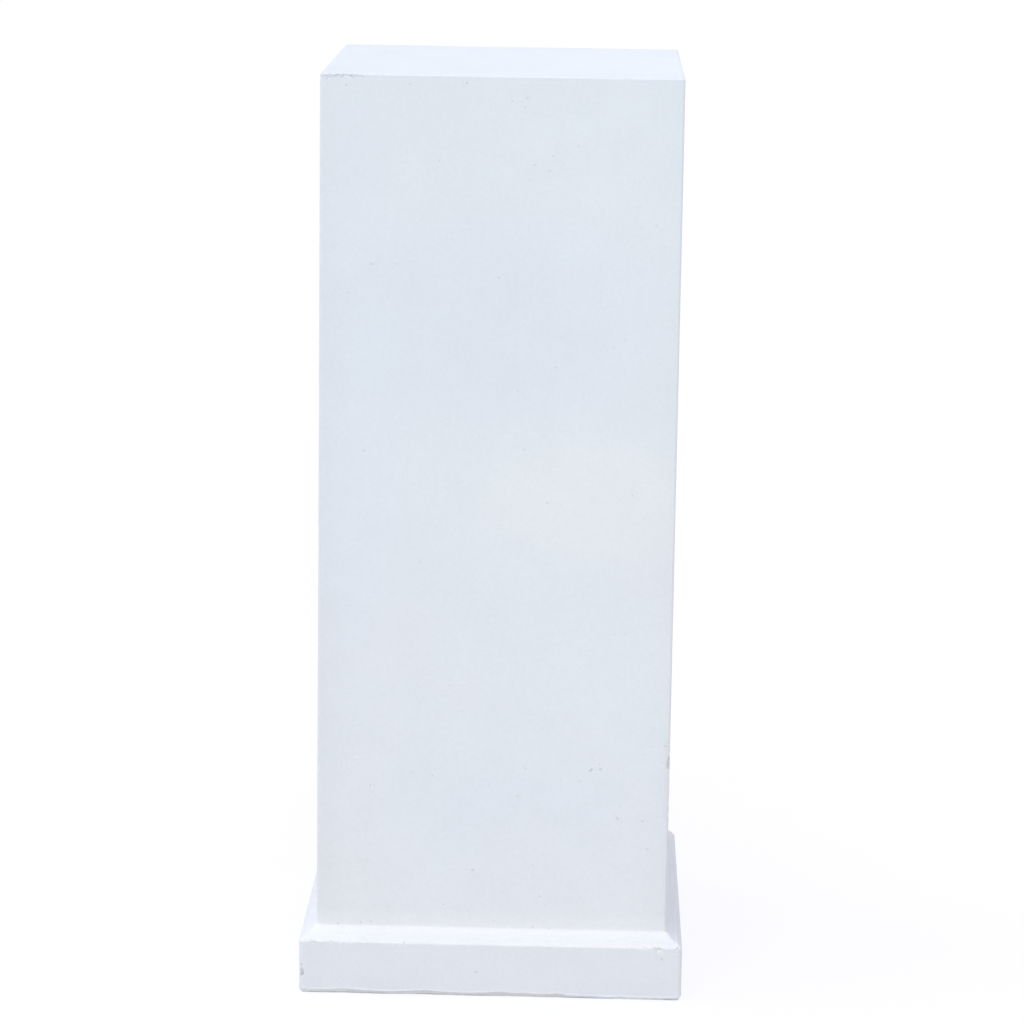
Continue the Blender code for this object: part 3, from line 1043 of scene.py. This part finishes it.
def patched(colour, patches):
    """A colour tinted in soft-edged patches, each from its middle, half sizes and tint."""
    tree = colour.tree
    place = tree.value("ShaderNodeTexCoord", output="Object")
    for middle, half_size, tint in patches:
        off = (place - middle) / half_size
        reach = tree.value("ShaderNodeVectorMath", {0: off}, "Value", operation="LENGTH")
        mask = reach.ramp(0.25, 1.0, 1.0, 0.0, smooth=True)
        colour = colour * mask.blend(UNTINTED, tint)
    return colour


def new_material(name, viewport_colour, roughness):
    """A Principled material; returns its tree and its shader."""
    material = bpy.data.materials.new(name)
    material.use_nodes = True
    material.diffuse_color = (*viewport_colour, 1.0)
    shader = material.node_tree.nodes["Principled BSDF"]
    shader.inputs["Roughness"].default_value = roughness
    shader.inputs["Specular IOR Level"].default_value = 0.3
    return Tree(material.node_tree), shader


def surfaced(tree, shader, colour, *heights):
    """Give a shader its colour, and its normal from Bump nodes of (height, strength, distance)."""
    tree.feed(shader.inputs["Base Color"], colour)
    normal = {}
    for height, strength, distance in heights:
        bump = {"Height": height, "Strength": strength, "Distance": distance, **normal}
        normal = {"Normal": tree.value("ShaderNodeBump", bump)}
    tree.feed(shader.inputs["Normal"], normal["Normal"])


def matt_coat(name, colours, groups):
    """The matt coat: cool and warm clouds, thick on the mouldings, brush drag and stipple, with painted
    light and shade laid over it.
    """
    tree, shader = new_material(name, colours.coat, 0.7)
    clouds, brush, grain, zones = (
        tree.placed(groups[use]) for use in ("clouds", "brush", "grain", "zones"))
    rubbed = tree.placed(groups["rub"], {"Middle": RUB_MIDDLE, "Half Height": RUB_HALF_HEIGHT})
    warm = zones["Rise"].ramp(0.10, 0.95, 0.78, 0.0) + clouds["Patches"] * 0.30
    colour = patched(warm.blend(colours.cool_coat, colours.warm_coat), COAT_PATCHES)
    # Painted shade: the coat darker towards the arrises
    colour = shaded(colour, zones["Near Arris"], 1.0, 0.958)
    # Painted light: the coat darker towards the left and lighter towards the right
    colour = shaded(colour, zones["Across"], 0.990, 1.010)
    # Painted skylight on the flat top
    colour = colour * zones["Rise"].ramp(0.9985, 0.9996).blend(UNTINTED, TOP_SKYLIGHT_TINT)
    colour = shaded(colour, zones["Under Rim"], 1.0, 0.970)
    colour = (zones["Plinth"] * 0.75).blend(colour, colours.handled_coat)
    # Painted shade: the bluer, darker coat on the mouldings of the two sides
    thick = zones["Sides"].blend(colours.thick_coat, colours.side_coat)
    # Painted light: the whiter coat on the mouldings, fading up the shaft's foot as painted bounce light
    colour = (zones["Mouldings"] * 0.9).blend(colour, thick)
    colour = (rubbed["Mask"] * 0.9).blend(colour, colours.rubbed_coat)
    for mask, low, high in (
            (clouds["Tone"], 0.985, 1.010), (brush["Streaks"], 0.997, 1.002),
            (grain["Mottle"], 0.983, 1.017), (grain["Speckle"], 0.992, 1.006)):
        colour = shaded(colour, mask, low, high)
    tree.feed(shader.inputs["Roughness"], clouds["Tone"].ramp(0.0, 1.0, 0.62, 0.78))
    surfaced(tree, shader, colour, (brush["Height"], 0.10, 0.00025), (grain["Height"], 0.45, 0.0003))


def bare_stone(name, colours, groups):
    """Fresh sandy stone in the chips."""
    tree, shader = new_material(name, colours.bare_stone, 0.9)
    grain = tree.placed(groups["grain"], {"Stipple Scale": 700.0, "Sand Scale": 2200.0})
    colour = grain["Speckle"].blend(colours.bare_stone, colours.coat)
    surfaced(tree, shader, shaded(colour, grain["Height"], 0.94, 1.03), (grain["Height"], 0.6, 0.0003))


def hole_lining(name, colours, groups):
    """Thin paint inside the air holes, dulled by settled dust."""
    tree, shader = new_material(name, colours.coat, 0.85)
    grain = tree.placed(groups["grain"])
    dust = grain["Speckle"].ramp(0.0, 1.0, 0.08, 0.20)
    surfaced(tree, shader, dust.blend(colours.coat, colours.grime), (grain["Height"], 0.5, 0.0002))


def grubby_foot(name, colours, groups):
    """Grey stone of the foot's lip, darker where it meets the ground: partly dirt, partly painted contact
    shadow.
    """
    tree, shader = new_material(name, colours.dusty_stone, 0.85)
    clouds = tree.placed(groups["clouds"], {"Patch Scale": 40.0, "Tone Scale": 160.0})
    grain, zones = tree.placed(groups["grain"]), tree.placed(groups["zones"])
    bare = zones["Across"].ramp(0.05, 0.13) * zones["Across"].ramp(0.68, 0.80, 1.0, 0.0)
    stone = bare.ramp(0.0, 1.0, 0.35, 1.0).blend(colours.coat, colours.dusty_stone)
    # Painted contact shadow and dirt: darker in the lowest 1.5 mm, in patches
    ground_shadow_and_dirt = zones["Height"].ramp(0.0002, 0.0015, 0.70, 0.0) * clouds["Patches"]
    dirt = clouds["Tone"].ramp(0.1, 0.9, 0.02, 0.18) + ground_shadow_and_dirt
    colour = shaded(dirt.blend(stone, colours.grime), grain["Speckle"], 0.96, 1.03)
    surfaced(tree, shader, colour, (grain["Height"], 0.6, 0.0003))


FINISHES = {
    "coat": ("matt_white_coat", matt_coat),
    "bare": ("bare_cast_stone", bare_stone),
    "lining": ("dusty_hole_lining", hole_lining),
    "foot": ("grubby_foot", grubby_foot),
}


def finishes(colours):
    """All the finishes by their use, made at the first call."""
    if FINISHES["coat"][0] not in bpy.data.materials:
        groups = {
            "clouds": cloud_group(), "brush": brush_group(), "grain": grain_group(),
            "zones": zone_group(), "rub": rub_group()}
        for name, make in FINISHES.values():
            make(name, colours, groups)
    return {use: bpy.data.materials[name] for use, (name, _) in FINISHES.items()}


# Operators

def settings_of(context):
    """The sizes, the relief and the finishes that a step works with."""
    scene = context.scene
    return scene.casting_sizes, scene.surface_relief, finishes(scene.paint_colours)


class PEDESTAL_OT_cast_body(bpy.types.Operator):
    """Loft the casting up its section and weather its flats and arrises"""
    bl_idname = "pedestal.cast_body"
    bl_label = "Cast the body"

    def execute(self, context):
        sizes, relief, finish = settings_of(context)
        width = 2 * (LIP_HALF - PLINTH_ARRIS)
        tree = loft_tree()
        stretches = (
            ("plinth", plinth_section(sizes), fine_shares(width), foot_shape, PLINTH_ROW_SPACING),
            ("shaft", shaft_section(sizes), coarse_shares(width), no_foot, SHAFT_ROW_SPACING))
        mesh = bmesh.new()
        for name, corners, shares, foot, spacing in stretches:
            plan = plan_guide(name + "_plan", shares, foot)
            section = section_guide(name + "_section", corners)
            blank = mesh_object("blank", bmesh.new())
            stretch = grown(blank, tree, {
                "Section": section, "Plan": plan, "Ease Steps": EASE_STEPS, "Row Spacing": spacing,
                "Bevel Slope": BEVEL_SLOPE, "Finish": finish["coat"]})
            mesh.from_mesh(stretch)
            bpy.data.meshes.remove(stretch)
            discard(blank, plan, section)
        stitch(mesh)
        mesh.faces.new(reversed(ring_at(mesh, 0.0)))
        for face in mesh.faces:
            face.material_index = 0
        bmesh.ops.recalc_face_normals(mesh, faces=mesh.faces)
        casting = mesh_object(CASTING, mesh)
        casting.data.materials.append(finish["coat"])
        casting.data.materials.append(finish["foot"])
        casting.data.shade_smooth()
        take_mesh(casting, grown(casting, weather_tree(), {
            "Unevenness": relief.unevenness, "Arris Wear": relief.arris_wear,
            "Edge Waver": relief.edge_waver, "Height": sizes.height,
            "Plinth Edge": sizes.plinth_face_top}))
        # Painted shade: the down-facing faces under the lip take the grey foot finish, which stands partly
        # for the shade there
        for face in casting.data.polygons:
            if face.center.z < LIP_UNDERSIDE and face.normal.z < LOOKS_DOWN:
                face.material_index = 1
        return {"FINISHED"}


class PEDESTAL_OT_knock_edges(bpy.types.Operator):
    """Cut the knocks and the small nicks into the casting's edges"""
    bl_idname = "pedestal.knock_edges"
    bl_label = "Knock the edges"

    def execute(self, context):
        sizes, relief, finish = settings_of(context)
        casting = bpy.data.objects[CASTING]
        knocks = knock_list(sizes)
        anchors = {name: casting.closest_point_on_mesh(knock.place)[1] for name, knock in knocks.items()}
        for name, knock in knocks.items():
            cut(casting, lump(name, knock._replace(place=anchors[name]), finish[knock.finish]))
        lines = edge_lines(sizes)
        nibbles = grown(lines, nibble_tree(), {
            "Spacing": relief.nibble_spacing, "Smallest": relief.nibble_size * SMALLEST_NIBBLE,
            "Largest": relief.nibble_size, "Seed": relief.seed, "Broken Stone": finish["bare"]})
        cut(casting, show(bpy.data.objects.new("nibbles", nibbles)))
        discard(lines)
        return {"FINISHED"}


class PEDESTAL_OT_air_holes(bpy.types.Operator):
    """Cut the casting's air holes, the placed ones and the scattered ones"""
    bl_idname = "pedestal.air_holes"
    bl_label = "Cut the air holes"

    def execute(self, context):
        sizes, relief, finish = settings_of(context)
        casting = bpy.data.objects[CASTING]
        places = []
        for across, height, _ in FRONT_HOLES:
            on_plinth = height < sizes.ledge_height
            reach = LIP_HALF - sizes.lip_reach if on_plinth else shaft_half_at(sizes, height)
            places.append((across, -reach, height))
        placed = point_guide("front_holes", places, size=[radius for _, _, radius in FRONT_HOLES])
        holes = grown(casting, air_hole_tree(), {
            "Placed Holes": placed, "Density": relief.hole_density, "Smallest": relief.hole_smallest,
            "Largest": relief.hole_largest, "Flatness": relief.hole_flatness,
            "Hidden Share": relief.hidden_holes, "Seed": relief.seed, "Lining": finish["lining"]})
        cut(casting, show(bpy.data.objects.new("holes", holes)))
        discard(placed)
        casting.data.shade_smooth()
        casting.data.set_sharp_from_angle(angle=SHARP_ANGLE)
        return {"FINISHED"}


def aim_camera(scene):
    """The camera at the photograph's place, with its slight turn and tilt."""
    data = bpy.data.cameras.new("photo_view")
    data.sensor_width = CAMERA_SENSOR
    data.lens = CAMERA_LENS
    data.clip_end = CAMERA_RANGE
    camera = show(bpy.data.objects.new("photo_view", data))
    stand = Matrix.Translation(CAMERA_PLACE)
    for angle, axis in ((CAMERA_YAW, "Z"), (math.pi / 2 - CAMERA_PITCH, "X"), (CAMERA_ROLL, "Z")):
        stand = stand @ Matrix.Rotation(angle, 4, axis)
    camera.matrix_world = stand
    scene.camera = camera


def pale_floor(studio):
    """A wide pale floor that glows a little, as a light table does, so shadows stay faint."""
    mesh = bmesh.new()
    bmesh.ops.create_circle(mesh, cap_ends=True, segments=64, radius=studio.floor_radius)
    floor = mesh_object("studio_floor", mesh)
    material = bpy.data.materials.new("studio_floor")
    material.use_nodes = True
    tree = Tree(material.node_tree)
    tree.made.nodes.clear()
    grain = tree.value("ShaderNodeTexNoise", {"Scale": 30.0, "Detail": 2.0}, "Fac")
    colour = tree.value("ShaderNodeVectorMath", {
        0: tuple(studio.floor_colour), "Scale": grain.ramp(0.0, 1.0, 0.995, 1.0)}, operation="SCALE")
    matt = tree.value("ShaderNodeBsdfDiffuse", {"Color": colour})
    glow = tree.value("ShaderNodeEmission", {"Color": colour, "Strength": studio.floor_brightness})
    mix = tree.value("ShaderNodeMixShader", {0: studio.floor_glow, 1: matt, 2: glow})
    tree.node("ShaderNodeOutputMaterial", {"Surface": mix})
    floor.data.materials.append(material)


def soft_light(studio):
    """Three large soft lights and an even surround."""
    lights = (
        ("overhead", (-0.10, 0, 1), studio.overhead_strength),
        ("over_camera", (0, -1, 1), studio.front_strength),
        ("upper_left", (-1, 0, 0.7), studio.left_strength),
    )
    for name, place, strength in lights:
        data = bpy.data.lights.new(name, "SUN")
        data.energy = strength
        data.angle = LIGHT_SPREAD
        light = show(bpy.data.objects.new(name, data))
        light.rotation_euler = Vector(place).to_track_quat("Z", "Y").to_euler()
    world = bpy.data.worlds.new("soft_surround")
    world.use_nodes = True
    back = world.node_tree.nodes["Background"]
    back.inputs["Color"].default_value = (*studio.sky_colour, 1.0)
    bpy.context.scene.world = world


class PEDESTAL_OT_set_stage(bpy.types.Operator):
    """Set the pale floor, the soft light and the camera"""
    bl_idname = "pedestal.set_stage"
    bl_label = "Set the stage"

    def execute(self, context):
        studio = context.scene.studio_settings
        pale_floor(studio)
        soft_light(studio)
        aim_camera(context.scene)
        context.scene.view_settings.view_transform = "Standard"
        return {"FINISHED"}


class PEDESTAL_PT_sidebar(bpy.types.Panel):
    """Sizes, colours and steps of the pedestal"""
    bl_label = "Display pedestal"
    bl_idname = "PEDESTAL_PT_sidebar"
    bl_space_type = "VIEW_3D"
    bl_region_type = "UI"
    bl_category = "Pedestal"

    def draw(self, context):
        column = self.layout.column()
        for operator in OPERATORS:
            column.operator(operator.bl_idname)
        for group in SETTINGS:
            settings = getattr(context.scene, group)
            column.label(text=type(settings).__name__)
            for name in type(settings).__annotations__:
                column.prop(settings, name)


SETTINGS = {
    "casting_sizes": CastingSizes,
    "surface_relief": SurfaceRelief,
    "paint_colours": PaintColours,
    "studio_settings": StudioSettings,
}
OPERATORS = (PEDESTAL_OT_cast_body, PEDESTAL_OT_knock_edges, PEDESTAL_OT_air_holes, PEDESTAL_OT_set_stage)


def register():
    for made in (*SETTINGS.values(), *OPERATORS, PEDESTAL_PT_sidebar):
        bpy.utils.register_class(made)
    for name, group in SETTINGS.items():
        setattr(bpy.types.Scene, name, PointerProperty(type=group))


def unregister():
    for name in SETTINGS:
        delattr(bpy.types.Scene, name)
    for made in (PEDESTAL_PT_sidebar, *OPERATORS, *SETTINGS.values()):
        bpy.utils.unregister_class(made)


def main():
    """Build the pedestal and its stage, step by step."""
    register()
    for operator in OPERATORS:
        group, step = operator.bl_idname.split(".")
        getattr(getattr(bpy.ops, group), step)()
    casting = bpy.data.objects[CASTING]
    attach(casting, "root")
    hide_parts("pedestal")


if __name__ == "__main__":
    main()
